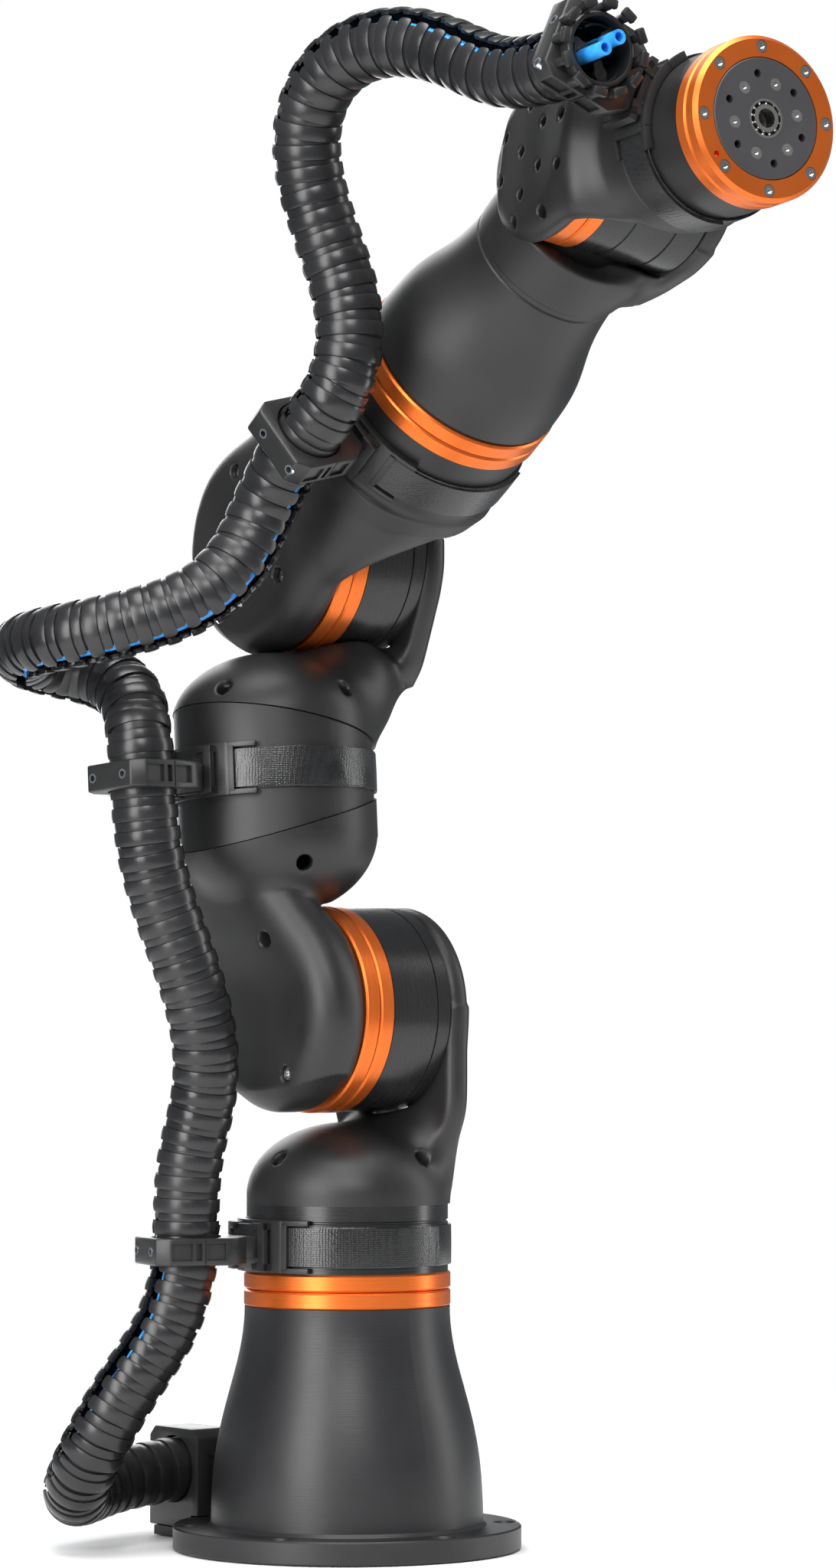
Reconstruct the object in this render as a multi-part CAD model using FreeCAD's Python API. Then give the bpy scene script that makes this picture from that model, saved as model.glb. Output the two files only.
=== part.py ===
import FreeCAD, Part
import math
import os

# Six-axis collaborative robot arm with an energy chain, millimetres, +Z up.
# Origin: axis of joint 1 at the underside of the base flange. +X is the way the arm reaches.

V = FreeCAD.Vector
Placement = FreeCAD.Placement
Rotation = FreeCAD.Rotation
X_AXIS, Y_AXIS, Z_AXIS = V(1, 0, 0), V(0, 1, 0), V(0, 0, 1)

# ---------------------------------------------------------------- driving dimensions
BIG_R = 54.0             # outer radius of the ring of joints 1 to 4
SMALL_R = 40.0           # outer radius of the ring of joints 5 and 6
BIG_HALF = 9.0           # thickness of one half of a big ring
SMALL_HALF = 8.2         # thickness of one half of a small ring
GAP = 0.15               # half of the running gap between the two halves of a ring

J1_SEAM = 135.0          # height of the turning plane of joint 1
J2_HEIGHT = 280.4        # height of the axis of joint 2
LOWER_LEN = 242.0        # joint 2 axis to joint 3 axis
FOREARM_LEN = 297.0      # joint 3 axis to joint 5 axis
TOOL_LEN = 131.0         # joint 5 axis to the tool face

LEAN = 4.0               # backward lean of the lower arm at rest, degrees
ELEVATION = 34.2         # rise of the forearm at rest, degrees
J4_REST = -12.25         # twist of the wrist about the forearm at rest
J5_REST = 31.3           # bend of the wrist at rest

J2_SEAM = -17.6          # along Y
J3_SEAM = -20.6
J4_SEAM = 143.5          # along the forearm from joint 3
J5_SEAM = -24.3          # along the axis of joint 5
J6_SEAM = 122.5          # along the tool axis from joint 5
TUBE_Y = -41.0           # sideways place of the lower arm's tube
FOREARM_Y = -5.3         # sideways place of the forearm
WALL = 3.5               # wall of the moulded shells

FLANGE_R = 91.0
FLANGE_T = 12.0
BASE_PCD = 167.0
BASE_HOLE_R = 3.3
TOOL_PCD = 43.0
TOOL_HOLE_R = 2.0

CHAIN_R = 17.25          # outer radius of the energy chain
CHAIN_BORE_R = 13.6
CLAMP_BORE_R = 19.0      # bore of the clamps that the chain runs through

# ---------------------------------------------------------------- frames of the links at rest
BASE = Placement()
LOWER = Placement(V(0, 0, J2_HEIGHT), Rotation(Y_AXIS, -LEAN))
ELBOW = LOWER * Placement(V(0, 0, LOWER_LEN), Rotation(Y_AXIS, LEAN + 90 - ELEVATION))
FOREARM = ELBOW * Placement(V(0, FOREARM_Y, 0), Rotation(Z_AXIS, J4_REST))
WRIST = FOREARM * Placement(V(0, 0, FOREARM_LEN), Rotation(Y_AXIS, J5_REST))

# A joint's own frame has its origin on the turning plane and +Z towards the fixed half.
TO_Y = Rotation(X_AXIS, -90)
DOWN = Rotation(X_AXIS, 180)
J1 = Placement(V(0, 0, J1_SEAM), DOWN)
J2 = LOWER * Placement(V(0, J2_SEAM, 0), TO_Y)
J3 = ELBOW * Placement(V(0, J3_SEAM, 0), TO_Y)
J4 = ELBOW * Placement(V(0, FOREARM_Y, J4_SEAM), DOWN)
J5 = WRIST * Placement(V(0, J5_SEAM, 0), TO_Y)
J6 = WRIST * Placement(V(0, 0, J6_SEAM), DOWN)


# ---------------------------------------------------------------- helpers
def at(frame, shape):
    """A copy of the shape, moved from its own frame into the arm's frame."""
    moved = shape.copy()
    moved.Placement = frame * moved.Placement
    return moved


def save(name, frame, shapes):
    """Write one node. Several solids in one node stay separate solids."""
    parts = shapes if isinstance(shapes, list) else [shapes]
    placed = [at(frame, part) for part in parts]
    result = placed[0] if len(placed) == 1 else Part.makeCompound(placed)
    result.exportStep("parts/" + name + ".step")
    print("%-22s solids %3d volume %9.0f valid %s"
          % (name, len(result.Solids), result.Volume, result.isValid()))


def turned(profile):
    """Solid of revolution about Z of a closed outline of (radius, height) points."""
    points = [V(r, 0, z) for r, z in profile]
    face = Part.Face(Part.makePolygon(points + [points[0]]))
    return face.revolve(V(), Z_AXIS, 360)


def turned_smooth(before, curve, after):
    """Solid of revolution whose outline runs through a smooth curve between two straight stretches."""
    spline = Part.BSplineCurve()
    spline.interpolate([V(r, 0, z) for r, z in curve])
    rest = [V(r, 0, z) for r, z in [curve[-1]] + after + before + [curve[0]]]
    wire = Part.Wire([spline.toShape()] + Part.makePolygon(rest).Edges)
    return Part.Face(wire).revolve(V(), Z_AXIS, 360)


def cyl(radius, z0, z1, x=0.0, y=0.0):
    return Part.makeCylinder(radius, z1 - z0, V(x, y, z0))


def tube(r_out, r_in, z0, z1, chamfer=0.0):
    c = chamfer
    return turned([(r_in, z0), (r_out - c, z0), (r_out, z0 + c), (r_out, z1 - c), (r_out - c, z1),
                   (r_in, z1)])


def around(count, radius, start=0.0):
    """Points evenly spaced on a circle, the first at the angle start in degrees."""
    for i in range(count):
        a = math.radians(start + 360.0 * i / count)
        yield radius * math.cos(a), radius * math.sin(a)


def socket_screw(x, y, z, head_r, head_h, shank_r, shank_h):
    """Socket head screw, head upwards from z, shank downwards."""
    screw = cyl(head_r, z, z + head_h, x, y).fuse(cyl(shank_r, z - shank_h, z, x, y))
    return screw.removeSplitter().cut(cyl(head_r * 0.5, z + head_h * 0.4, z + head_h + 1, x, y))


def ellipse_wire(z, yc, half_x, half_y):
    """Closed elliptical section at the height z."""
    big, small = max(half_x, half_y), min(half_x, half_y)
    long_axis = X_AXIS if half_x >= half_y else Y_AXIS
    centre = V(0, yc, z)
    curve = Part.Ellipse(centre + long_axis * big, centre + long_axis.cross(Z_AXIS) * small, centre)
    return Part.Wire(curve.toShape())


def horn(sections, wall=0.0):
    """Lofted shell through (z, yc, half_x, half_y) ellipses, shrunk by the wall for its inside."""
    wires = [ellipse_wire(z, yc, hx - wall, hy - wall) for z, yc, hx, hy in sections]
    return Part.makeLoft(wires, True, False)


def cover_hub(radius, depth, face, edge):
    """Round end of a joint cover, standing out along -Y from its face, its outer edge well rounded."""
    profile = [(0, 0), (radius, 0), (radius, depth - 0.8 * edge),
               (radius - 0.13 * edge, depth - 0.4 * edge), (radius - 0.48 * edge, depth - 0.12 * edge),
               (radius - edge, depth), (0, depth)]
    return at(Placement(V(0, face, 0), Rotation(X_AXIS, 90)), turned(profile))


def slab(z, x_half, y0, y1):
    """Closed rectangular section at the height z."""
    corners = [V(-x_half, y0, z), V(x_half, y0, z), V(x_half, y1, z), V(-x_half, y1, z)]
    return Part.makePolygon(corners + [corners[0]])


def big_box(z0, z1):
    return Part.makeBox(400, 400, z1 - z0, V(-200, -200, z0))


def above_plane(z_at_axis, slope, y_axis):
    """Everything over a plane that tilts along Y about the point (y_axis, z_at_axis)."""
    tilt = Placement(V(0, y_axis, z_at_axis), Rotation(X_AXIS, math.degrees(math.atan(slope))))
    return at(tilt, big_box(0, 400))


# ---------------------------------------------------------------- the joint unit, used six times
def joint_unit(radius, stator_z0, stator_z1, rotor_z1):
    """Ring halves, stator and rotor of one joint, in the joint's own frame."""
    k = radius / BIG_R
    half = BIG_HALF if radius == BIG_R else SMALL_HALF
    fixed = tube(radius, 41 * k, GAP, half, 1.0)
    web = 4.0
    output = turned([(15 * k, -half), (radius - 1, -half), (radius, 1 - half), (radius, -1 - GAP),
                     (radius - 1, -GAP), (46 * k, -GAP), (46 * k, web - half), (15 * k, web - half)])
    stator = tube(45.6 * k, 31 * k, stator_z0, stator_z1)
    slot_r = 1.6 * k
    for x, y in around(18, 32.4 * k):
        stator = stator.cut(cyl(slot_r, stator_z0 - 1, stator_z1 + 1, x, y))
    shaft_in, shaft_out = 8 * k, 11 * k
    disc0 = stator_z0 + 3
    disc1 = disc0 + 4
    magnet = 30.5 * k
    rotor = turned([(shaft_in, 0.8), (shaft_out, 0.8), (shaft_out, disc0), (24 * k, disc0),
                    (24 * k, stator_z0 + 0.5), (magnet, stator_z0 + 0.5), (magnet, stator_z1 - 0.5),
                    (24 * k, stator_z1 - 0.5), (24 * k, disc1), (shaft_out, disc1),
                    (shaft_out, rotor_z1), (shaft_in, rotor_z1)])
    return fixed, output, stator, rotor


def save_joint(number, frame, radius, stator_z0, stator_z1, rotor_z1):
    fixed, output, stator, rotor = joint_unit(radius, stator_z0, stator_z1, rotor_z1)
    prefix = "j%d_" % number
    save(prefix + "ring_fixed", frame, fixed)
    if number != 6:
        save(prefix + "ring_output", frame, output)
    save(prefix + "motor_stator", frame, stator)
    save(prefix + "motor_rotor", frame, rotor)


# ---------------------------------------------------------------- straps, holders and chain clamps
CLAMP_DEPTH = 14.0       # length of a clamp block along the chain
SADDLE_H = 27.0          # height of the holder's plate on the strap
SADDLE_HALF_W = 29.0     # half of that plate's width round the strap
CLAMP_HALF_W = 22.0      # half of its width across the chain
STRAP_W = 21.0


def clamp_frame(link, yc, z, angle, reach):
    """Frame at the chain's centre in a clamp: +Z along the chain, -Y away from the link."""
    turn = Placement(V(0, yc, z), Rotation(Z_AXIS, angle))
    return link * turn * Placement(V(0, -reach, 0), Rotation())


def strap(radius):
    return tube(radius + 2.0, radius + 0.2, -STRAP_W / 2, STRAP_W / 2)


def chain_holder(radius, reach, bore_r=CLAMP_BORE_R):
    """Saddle plate on the strap and the clamp block beyond it, in the clamp's frame."""
    saddle_out = radius + 5.5
    half = CLAMP_DEPTH / 2
    plate = tube(saddle_out, radius + 2.3, -SADDLE_H / 2, SADDLE_H / 2)
    plate.Placement = Placement(V(0, reach, 0), Rotation())
    wedge = Part.makeBox(2 * SADDLE_HALF_W, 40, SADDLE_H,
                         V(-SADDLE_HALF_W, reach - saddle_out - 4, -SADDLE_H / 2))
    plate = plate.common(wedge)
    neck = Part.makeBox(30, reach - saddle_out - CLAMP_HALF_W + 8, CLAMP_DEPTH - 2,
                        V(-15, CLAMP_HALF_W - 4, 1 - half))
    block = Part.makeBox(2 * CLAMP_HALF_W, 2 * CLAMP_HALF_W, CLAMP_DEPTH,
                         V(-CLAMP_HALF_W, -CLAMP_HALF_W, -half))
    corners = [e for e in block.Edges if abs(e.tangentAt(0).z) > 0.9]
    block = block.makeChamfer(5.0, [e for e in corners if e.CenterOfMass.y < 0])
    neck = neck.cut(at(Placement(V(0, reach, 0), Rotation()), cyl(radius + 3, -50, 50)))
    body = block.fuse(neck).fuse(plate)
    for side in (-1, 1):
        body = body.cut(at(Placement(V(side * 12, -CLAMP_HALF_W - 1, 0), TO_Y), cyl(2.2, 0, 7)))
    return body.cut(cyl(bore_r, -half - 1, half + 1)).removeSplitter()


# ---------------------------------------------------------------- energy chain
def chain_path(points):
    """Straight runs joined by tangent arcs; each arc takes 0.45 of the shorter run beside it."""
    edges, radii = [], []
    start = points[0]
    for before, corner, after in zip(points, points[1:], points[2:]):
        run_in, run_out = corner - before, after - corner
        cut_back = 0.45 * min(run_in.Length, run_out.Length)
        u, w = V(run_in).normalize(), V(run_out).normalize()
        turn = u.getAngle(w)
        radius = cut_back / math.tan(turn / 2)
        radii.append(round(radius))
        arc_start, arc_end = corner - u * cut_back, corner + w * cut_back
        bisector = (w - u).normalize()
        middle = corner + bisector * (radius / math.cos(turn / 2) - radius)
        edges.append(Part.LineSegment(start, arc_start).toShape())
        edges.append(Part.Arc(arc_start, middle, arc_end).toShape())
        start = arc_end
    edges.append(Part.LineSegment(start, points[-1]).toShape())
    return Part.Wire(edges), radii


def chain_span(name, points):
    path, radii = chain_path(points)
    direction = (points[1] - points[0]).normalize()
    rings = []
    for radius in (CHAIN_R, CHAIN_BORE_R):
        ring = Part.Wire(Part.makeCircle(radius, points[0], direction))
        rings.append(path.makePipeShell([ring], True, True))
    span = rings[0].cut(rings[1])
    print("%s: length %.0f, radii %s" % (name, path.Length, radii))
    save(name, BASE, span)


# ================================================================ base
def base():
    foot = [(0, 0), (FLANGE_R - 0.8, 0), (FLANGE_R, 0.8), (FLANGE_R, FLANGE_T - 0.8),
            (FLANGE_R - 0.8, FLANGE_T), (73, FLANGE_T)]
    bell = [(71.2, FLANGE_T + 1.8), (70.6, 31), (69.2, 47), (66.4, 63), (62.4, 79), (58.0, 95), (54.9, 110),
            (53.7, J1_SEAM - BIG_HALF)]
    inner = [(42, J1_SEAM - 9), (46, J1_SEAM - 14), (46, 104), (54, 90), (60, 74), (63.5, 55), (66.2, 30),
             (66.2, 4), (0, 4)]
    housing = turned_smooth(foot, bell, inner)
    for x, y in around(6, BASE_PCD / 2):
        housing = housing.cut(cyl(BASE_HOLE_R, -1, FLANGE_T + 1, x, y))
        housing = housing.cut(Part.makeCone(BASE_HOLE_R, 6.6, 3.3, V(x, y, FLANGE_T - 3.3)))
    save("base_housing", BASE, housing)
    save_joint(1, J1, BIG_R, 13.5, 34, 36)

    # The chain's foot stands behind the flange, on the bench.
    foot = Part.makeBox(34, 56, 5, V(-115, -44, 0))
    foot = foot.fuse(Part.makeBox(34, 5, 14, V(-115, -20, 0)))
    foot = foot.cut(cyl(FLANGE_R + 0.3, -1, 20)).removeSplitter()
    save("chain_foot", BASE, foot.Solids[0])
    block = Part.makeBox(46, 24, 53, V(-120, -44, 5))
    block = block.makeFillet(4.0, [e for e in block.Edges if abs(e.tangentAt(0).y) > 0.9])
    for z in (10, 53):
        block = block.cut(at(Placement(V(-75, -32, z), Rotation(Y_AXIS, 90)), cyl(2.2, -12, 2)))
    bore = at(Placement(V(-97, -50, 36), TO_Y), cyl(18.2, 0, 40))
    save("base_chain_clamp", BASE, block.cut(cyl(FLANGE_R + 0.3, -1, FLANGE_T + 0.3)).cut(bore))


# ================================================================ shoulder
def shoulder():
    half = BIG_HALF
    top = J1_SEAM + half
    collar = turned([(47, top), (52.7, top), (52.7, 169.6), (51.9, 170.0), (51.9, 170.8), (52.7, 171.2),
                     (52.7, 179), (47, 179)])
    save("shoulder_collar", BASE, collar)

    dome_out = [(52.7, 179), (52.7, 184), (51, 189), (44.5, 200.5), (34, 210), (22, 216), (11, 220),
                (0, 222)]
    dome_in = [(0, 218.5), (11, 216.5), (20, 212.5), (31, 207), (41, 197.5), (47.5, 187), (48.5, 179)]
    dome = turned(dome_out + dome_in)
    arm = Part.makeLoft([slab(186, 46, 16, 47), slab(212, 51, 24, 51), slab(240, 53, 27.4, 46)], True, True)
    upper = Part.makeLoft([slab(239.9, 53, 27.4, 46), slab(J2_HEIGHT, 53.6, 27.4, 41)], True, True)
    arm = arm.common(cyl(56, 170, 300))
    disc = turned([(0, 0), (53.6, 0), (53.6, 8), (51, 12), (46, 13.6), (0, 13.6)])
    disc = at(Placement(V(0, 27.4, J2_HEIGHT), TO_Y), disc)
    hollow = turned([(0, 160), (48.5, 160), (48.5, 179)] + dome_in[::-1][1:])
    swing = at(Placement(V(0, 0, J2_HEIGHT), TO_Y), cyl(BIG_R + 0.4, -80, 27.4))
    bracket = dome.fuse(arm).fuse(upper.common(cyl(56, 170, 300))).cut(swing).fuse(disc).cut(hollow)
    pocket = Part.makeBox(20, 22, 26, V(-10, 30, 226))
    bracket = bracket.cut(pocket)
    screws = []
    for angle in (-88, 22):
        a = math.radians(angle)
        seat = Placement(V(41 * math.cos(a), 41 * math.sin(a), 201),
                         Rotation(Z_AXIS, angle) * Rotation(Y_AXIS, 42))
        bracket = bracket.cut(at(seat, cyl(4.2, -4, 20)))
        screws.append(at(seat, socket_screw(0, 0, -3.6, 3.5, 3, 1.6, 8)))
        bracket = bracket.cut(at(seat, cyl(1.8, -14, 0)))
    save("shoulder_bracket", BASE, bracket.removeSplitter())
    save("shoulder_screws", BASE, screws)

    upright = Placement(V(0, 0, J2_HEIGHT), Rotation()) * Placement(V(0, J2_SEAM, 0), TO_Y)
    housing = turned([(46, half), (53.4, half), (53.4, 36.6), (52.7, 36.9), (52.7, 37.3), (53.4, 37.6),
                      (53.4, 44.9), (30, 44.9), (30, 40), (46, 40)])
    save("j2_housing", upright, housing)
    save_joint(2, J2, BIG_R, 12, 34, 38)
    save("strap_1", Placement(V(0, 0, 158.2), Rotation()), strap(52.7))
    save("chain_holder_1", CLAMPS[0], chain_holder(52.7, REACH[0]))


# ================================================================ lower arm
def lower_arm():
    half = BIG_HALF
    face = J2_SEAM - half

    depth = 29.4
    hub = cover_hub(53.4, depth, face, 15.4)
    bend = [(0, face - 14, 50, 14), (28, face - 18.5, 52, 18), (55, face - 22.5, 52.7, 22),
            (70, -48.5, 52.7, 38), (88, TUBE_Y, 52.7, 52.7)]
    neck = tube(52.7, 49.2, 88, 130)
    neck.Placement = Placement(V(0, TUBE_Y, 0), Rotation())
    cover = hub.fuse(horn(bend)).cut(horn(bend[1:], WALL)).fuse(neck).cut(above_plane(95.8, 0.285, TUBE_Y))
    room = at(Placement(V(0, face - WALL, 0), Rotation(X_AXIS, 90)), cyl(49, 0, 10))
    cover = cover.cut(room).cut(at(Placement(V(), TO_Y), cyl(BIG_R + 1.0, face, 60)))
    screws = []
    for x, z in around(3, 40, 60):
        seat = Placement(V(x, face - depth, z), Rotation(X_AXIS, 90))
        cover = cover.cut(at(seat, cyl(4.0, -5, 30)))
        screws.append(at(seat, socket_screw(0, 0, -4.6, 3.3, 3, 1.5, 10)))
        cover = cover.cut(at(seat, cyl(1.8, -16, 0)))
    save("lower_arm_cover", LOWER, cover.removeSplitter())

    middle = tube(51.5, 48, 70, 170)
    middle.Placement = Placement(V(0, TUBE_Y, 0), Rotation())
    middle = middle.common(above_plane(96.3, 0.285, TUBE_Y)).cut(above_plane(146.0, -0.22, TUBE_Y))
    save("lower_arm_tube", LOWER, middle)

    dome_out = [(52.7, 120), (52.7, 150), (50, 161), (42, 173), (30, 181), (15, 185.5), (0, 187)]
    dome_in = [(0, 183.5), (14, 182), (28, 177.5), (39, 170), (46.5, 159), (49.2, 149), (49.2, 120)]
    dome = at(Placement(V(0, TUBE_Y, 0), Rotation()), turned(dome_out + dome_in))
    root = Part.makeLoft([slab(136, 42, -34, 11), slab(160, 47, -20, 24), slab(186, 52, 2, 38)], True, True)
    blade = Part.makeLoft([slab(178, 50.5, 24.5, 37), slab(LOWER_LEN, 53.4, 24.5, 38)], True, True)
    disc = turned([(0, 0), (53.4, 0), (53.4, 8), (51, 12), (46, 13.5), (0, 13.5)])
    disc = at(Placement(V(0, 24.5, LOWER_LEN), TO_Y), disc)
    inside = at(Placement(V(0, TUBE_Y, 0), Rotation()), turned([(0, 100), (49.2, 100)] + dome_in[::-1]))
    hole = Part.makeLoft([slab(150, 38, -30, 12), slab(182, 44, 4, 33)], True, True)
    swing = at(Placement(V(0, 0, LOWER_LEN), TO_Y), cyl(BIG_R + 0.5, -80, 24.5))
    bracket = dome.fuse(root.cut(inside).cut(hole)).cut(swing).fuse(blade.cut(hole)).fuse(disc)
    bracket = bracket.common(above_plane(146.5, -0.22, TUBE_Y)).removeSplitter()
    screws_2 = []
    for angle in (-66, 16):
        a = math.radians(angle)
        seat = Placement(V(43 * math.cos(a), TUBE_Y + 43 * math.sin(a), 168),
                         Rotation(Z_AXIS, angle) * Rotation(Y_AXIS, 48))
        bracket = bracket.cut(at(seat, cyl(4.2, -4, 20)))
        screws_2.append(at(seat, socket_screw(0, 0, -3.6, 3.5, 3, 1.6, 8)))
        bracket = bracket.cut(at(seat, cyl(1.8, -14, 0)))
    save("elbow_bracket", LOWER, max(bracket.Solids, key=lambda s: s.Volume))
    save("lower_arm_screws", LOWER, screws + screws_2)

    seat = LOWER * Placement(V(0, J3_SEAM, LOWER_LEN), TO_Y)
    housing = turned([(46, half), (53.4, half), (53.4, 36.6), (52.7, 36.9), (52.7, 37.3), (53.4, 37.6),
                      (53.4, 45.0), (30, 45.0), (30, 40), (46, 40)])
    save("j3_housing", seat, housing)
    save_joint(3, J3, BIG_R, 12, 34, 38)
    save("strap_2", LOWER * Placement(V(0, TUBE_Y, 121.6), Rotation()), strap(51.5))
    save("chain_holder_2", CLAMPS[1], chain_holder(51.5, REACH[1]))


# ================================================================ elbow
def elbow():
    half = BIG_HALF
    face = J3_SEAM - half

    depth = 27.4
    hub = cover_hub(53.4, depth, face, 15.4)
    bend = [(0, face - 14, 50, 14), (28, face - 14, 52, 13.5), (56, face - 11, 52.7, 14),
            (70, -20, 52.7, 36), (86, FOREARM_Y, 52.7, 52.7)]
    neck = tube(52.7, 46.4, 86, J4_SEAM - half)
    neck.Placement = Placement(V(0, FOREARM_Y, 0), Rotation())
    cover = hub.fuse(horn(bend)).cut(horn(bend[1:], WALL)).fuse(neck)
    cover = cover.cut(at(Placement(V(0, face - WALL, 0), Rotation(X_AXIS, 90)), cyl(49, 0, 9)))
    cover = cover.cut(at(Placement(V(), TO_Y), cyl(BIG_R + 1.0, face, 60)))
    screws = []
    for x, z in around(3, 40, 30):
        seat = Placement(V(x, face - depth, z), Rotation(X_AXIS, 90))
        cover = cover.cut(at(seat, cyl(4.0, -5, 30)))
        screws.append(at(seat, socket_screw(0, 0, -4.6, 3.3, 3, 1.5, 9)))
        cover = cover.cut(at(seat, cyl(1.8, -15, 0)))
    save("elbow_cover", ELBOW, cover.removeSplitter())
    save("elbow_screws", ELBOW, screws)
    save_joint(4, J4, BIG_R, 12, 32, 36)
    save("strap_3", ELBOW * Placement(V(0, FOREARM_Y, 110), Rotation()), strap(52.7))
    save("chain_holder_3", CLAMPS[2], chain_holder(52.7, REACH[2]))


# ================================================================ forearm
def forearm():
    half = BIG_HALF
    z0 = J4_SEAM + half
    bell = [(53.4, z0 + 2.2), (53.0, 165), (51.6, 178), (48.2, 191), (44.6, 203), (42.1, 215),
            (40.8, 226), (40.4, 233)]
    shell = turned_smooth([(49.6, 160), (46, z0), (51.6, z0), (51.6, z0 + 1.6)], bell,
                          [(39.8, 233.8), (40.4, 234.6), (40.4, 237.4), (36.8, 237.4), (36.8, 226),
                           (38.6, 214), (41.2, 201), (44.4, 190), (47, 181), (49, 168)])
    save("forearm_shell", FOREARM, shell)

    blade0, blade1 = 37.2, 50.0
    dish = turned([(0, 238), (40.4, 238), (41, 243), (41, 262), (0, 262)])
    root = Part.makeLoft([slab(241, 34, 10, 41), slab(256, 37, 24, 49)], True, True)
    blade = Part.makeLoft([slab(255.9, 37, blade0, 49), slab(FOREARM_LEN, 39.4, blade0, blade1)],
                          True, True)
    disc = turned([(0, 0), (39.4, 0), (39.4, 8), (37, 11.5), (33, blade1 - blade0), (0, blade1 - blade0)])
    disc = at(Placement(V(0, blade0, FOREARM_LEN), TO_Y), disc)
    swing = at(Placement(V(0, 0, FOREARM_LEN), TO_Y), cyl(SMALL_R + 0.8, -80, blade0))
    bracket = dish.cut(cyl(20, 230, 250)).fuse(root).cut(swing).fuse(blade).fuse(disc)
    save("wrist_bracket", FOREARM, max(bracket.Solids, key=lambda s: s.Volume))

    seat = FOREARM * Placement(V(0, J5_SEAM, FOREARM_LEN), TO_Y)
    h0, h1 = SMALL_HALF, blade0 - J5_SEAM
    housing = turned([(34.6, h0), (39.2, h0), (39.2, 23.6), (38.6, 24), (38.6, 24.8), (39.2, 25.2),
                      (39.2, 46.4), (38.6, 46.8), (38.6, 47.4), (39.2, 47.8), (39.2, h1 - 0.1),
                      (20, h1 - 0.1), (20, h1 - 5), (34.6, h1 - 5)])
    save("j5_housing", seat, housing)
    save_joint(5, J5, SMALL_R, 12, 40, 44)


# ================================================================ wrist
# Recesses in the outer face of the wrist cover, from its axis.
VENTS = ((-12, -27), (10, -27), (-12, 11), (10, 11), (-11, 30), (14, 31), (21.5, -4.5), (34, 16), (34, -10),
         (-24, -4.5), (-1, -8))


def wrist():
    half = SMALL_HALF
    face = J5_SEAM - half
    depth = 14.5
    hub = cover_hub(39.4, depth, face, 9.4)
    bend = [(0, face - 7.2, 36, 7.2), (22, face - 7.4, 38.3, 7.3), (41.5, face - 9, 39, 10),
            (52, -15, 39, 26), (64, 0, 39, 39)]
    neck = tube(39, 34.5, 64, 95)
    cover = hub.fuse(horn(bend)).cut(horn(bend[1:], 3.0)).fuse(neck)
    cover = cover.cut(at(Placement(V(0, face - 3, 0), Rotation(X_AXIS, 90)), cyl(35.5, 0, 9)))
    cover = cover.cut(at(Placement(V(), TO_Y), cyl(SMALL_R + 0.8, face, 60)))
    for x, z in VENTS:
        spot = Placement(V(x, face - depth, z), Rotation(X_AXIS, 90))
        cover = cover.cut(at(spot, cyl(2.2, -6, 8)))
    save("wrist_cover", WRIST, cover.removeSplitter())
    collar = turned([(30.4, 95), (39.2, 95), (39.2, J6_SEAM - half), (30.4, J6_SEAM - half)])
    save("j6_housing", WRIST, collar.cut(cyl(34.2, 97, J6_SEAM - half - 2)))
    save_joint(6, J6, SMALL_R, 11, 23, 26)
    save("strap_4", WRIST * Placement(V(0, 0, 80), Rotation()), strap(39))
    save("chain_end_clamp", CLAMPS[3], chain_holder(39, REACH[3]))
    hoses = []
    for index, (dx, dy, dz) in enumerate(((5.5, -4.5, 1), (-6.5, 3.0, 1))):
        hose = cyl(3.6, -11.5, 34 - 6 * index, dx, dy).cut(cyl(2.3, -14, 60, dx, dy))
        hoses.append(hose)
    save("air_hoses", CLAMPS[3], hoses)


# ================================================================ tool flange
def tool():
    half = SMALL_HALF
    front = TOOL_LEN
    ring = turned([(22, J6_SEAM + 2), (34, J6_SEAM + 2), (34, J6_SEAM + GAP), (39, J6_SEAM + GAP),
                   (SMALL_R, J6_SEAM + 1.2), (SMALL_R, front - 2), (SMALL_R - 2, front), (29.4, front),
                   (29.4, front - 5), (22, front - 5)])
    screws = []
    for x, y in around(8, 34.5, 11):
        ring = ring.cut(cyl(3.1, front - 2.6, front + 1, x, y)).cut(cyl(1.5, front - 7, front, x, y))
        screws.append(socket_screw(x, y, front - 2.6, 2.9, 2.4, 1.4, 4.0))
    ring = ring.cut(cyl(1.6, front - 3, front + 1, 24, -24.5))
    save("j6_ring_output", WRIST, ring)
    disc = turned([(9.6, front - 4.9), (29.0, front - 4.9), (29.0, front - 0.2), (28.6, front + 0.2),
                   (9.6, front + 0.2)])
    for x, y in around(6, TOOL_PCD / 2, 20):
        disc = disc.cut(cyl(TOOL_HOLE_R, front - 9, front + 1, x, y))
    for x, y in around(6, 18, 50):
        disc = disc.cut(Part.makeCone(1.6, 3.1, 1.6, V(x, y, front - 1.4)))
        disc = disc.cut(cyl(1.6, front - 9, front, x, y))
        head = Part.makeCone(1.5, 2.9, 1.45, V(x, y, front - 1.35))
        head = head.fuse(cyl(1.5, front - 4.8, front - 1.3, x, y))
        screws.append(head.removeSplitter().cut(cyl(1.1, front - 1.0, front + 1, x, y)))
    save("tool_flange", WRIST, disc)
    save("flange_screws", WRIST, screws)
    outer = tube(9.5, 8.3, front - 4.4, front + 0.2)
    inner = turned([(4.6, front - 6), (6.7, front - 6), (6.7, front + 0.8), (4.6, front + 0.8)])
    balls = [Part.makeSphere(0.7, V(x, y, front - 1.2)) for x, y in around(12, 7.5)]
    save("flange_bearing", WRIST, [outer, inner] + balls)


# ================================================================ energy chain
REACH = (96.0, 90.0, 95.0, 78.0)
CLAMPS = (clamp_frame(BASE, 0, 158.2, -6, REACH[0]), clamp_frame(LOWER, TUBE_Y, 121.6, 6, REACH[1]),
          clamp_frame(ELBOW, FOREARM_Y, 110, 16, REACH[2]), clamp_frame(WRIST, 0, 80, -15, REACH[3]))


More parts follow.
